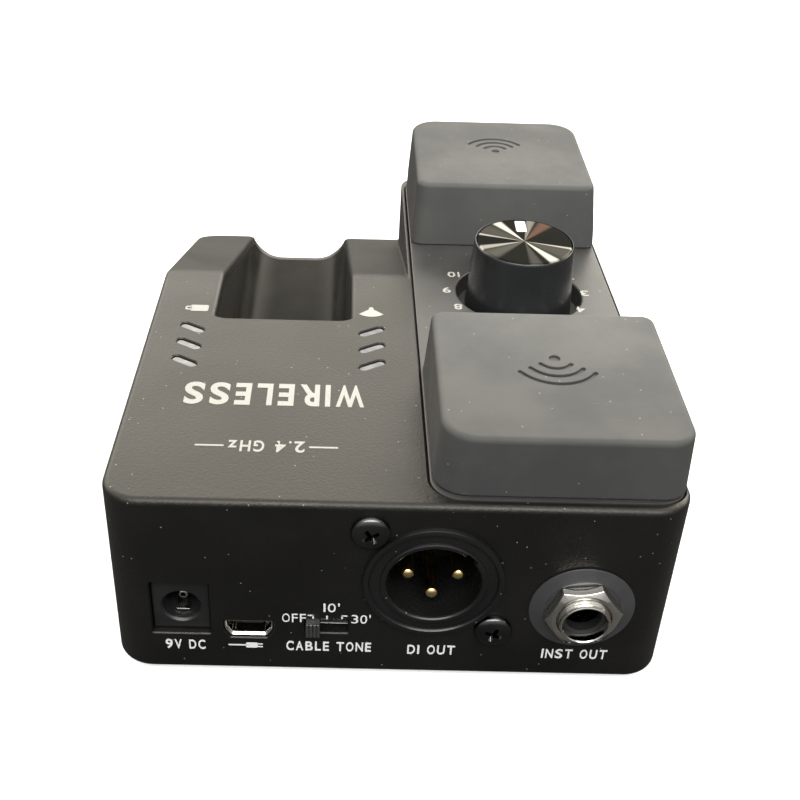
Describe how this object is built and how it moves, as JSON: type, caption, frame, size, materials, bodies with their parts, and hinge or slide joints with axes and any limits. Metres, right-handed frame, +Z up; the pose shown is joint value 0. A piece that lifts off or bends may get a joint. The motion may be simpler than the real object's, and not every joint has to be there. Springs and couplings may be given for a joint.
{
  "type": "wireless guitar receiver pedal",
  "caption": "Floor-standing guitar wireless receiver with a transmitter charging dock, raised antenna deck, rotary channel knob and rear connector panel.",
  "frame": {"origin": "centre of the housing's outline on the underside of the rubber base mat, where the pedal stands", "axes": "+Z up, -Y towards the connector panel, +Y towards the player's end and the dock mouth, +X towards the side with the antenna covers"},
  "size_m": [0.101, 0.1481, 0.0525],
  "materials": {
    "housing_paint": "black powder coat with a fine speckle",
    "plate_black": "satin black steel",
    "screw_black": "black oxide",
    "screw_steel": "zinc plated",
    "base_rubber": "matte",
    "label_film": "satin silver film",
    "deck_plastic": "fine satin texture",
    "cover_soft": "soft-touch grey",
    "circuit_board": "solder mask",
    "cable_black": "matte",
    "cable_grey": "ribbon cable",
    "knob_black": "satin black",
    "knob_metal": "spun, with radial glints",
    "pointer_white": "white inlay",
    "nickel": "nickel plated",
    "brass_parts": "machined",
    "dock_gloss": "high gloss black",
    "jack_black": "moulded",
    "tinned_contacts": "tin plated",
    "window_white": "milky diffuser",
    "chip_black": "moulded epoxy",
    "capacitor_can": "sleeved can",
    "connector_black": "moulded",
    "gold_pins": "gold plated",
    "washer_grey": "satin grey"
  },
  "bodies": {
    "receiver_body": {"enclosure": "housing_paint", "bottom_plate": "plate_black", "bottom_screws": "screw_black", "base_mat": "base_rubber", "rating_label": "label_film", "antenna_deck": "deck_plastic", "deck_screws": "screw_steel", "rear_antenna_cover": "cover_soft", "front_antenna_cover": "cover_soft", "cover_screws": "screw_steel", "antenna_boards": "circuit_board", "antenna_leads": "cable_black", "selector_body": "jack_black", "selector_bush": "nickel", "selector_nut": "nickel", "selector_washer": "nickel", "selector_board": "circuit_board", "selector_cable": "cable_grey", "dock_cradle": "dock_gloss", "dock_jack": "jack_black", "dock_jack_contacts": "tinned_contacts", "battery_led_windows": "window_white", "signal_led_windows": "window_white", "led_lamps": "window_white", "led_board": "circuit_board", "led_board_screws": "screw_steel", "led_cable": "cable_grey", "main_board": "circuit_board", "board_standoffs": "brass_parts", "board_screws": "screw_steel", "rf_shield": "tinned_contacts", "chips": "chip_black", "capacitors": "capacitor_can", "xlr_housing": "connector_black", "xlr_pins": "gold_pins", "xlr_screws": "screw_black", "output_jack_body": "jack_black", "output_jack_bush": "nickel", "output_jack_washer": "washer_grey", "output_jack_nut": "nickel", "output_jack_contacts": "tinned_contacts", "dc_jack_body": "connector_black", "dc_pin": "nickel", "dc_spring": "tinned_contacts", "usb_shell": "nickel", "usb_tongue": "connector_black", "tone_switch_frame": "tinned_contacts"},
    "channel_dial": {"channel_knob": "knob_black", "knob_cap": "knob_metal", "knob_pointer": "pointer_white", "selector_shaft": "nickel", "selector_rotor": "brass_parts"},
    "tone_lever": {"tone_slider": "connector_black"}
  },
  "joints": [
    {"name": "channel_knob_turn", "type": "hinge", "parent": "receiver_body", "child": "channel_dial", "pos_m": [0.029, 0.00585, 0.04], "axis": [0, 0, -1], "range_deg": [0, 300]},
    {"name": "tone_switch_slide", "type": "slide", "parent": "receiver_body", "child": "tone_lever", "axis": [1, 0, 0], "range_m": [0, 0.005]}
  ]
}
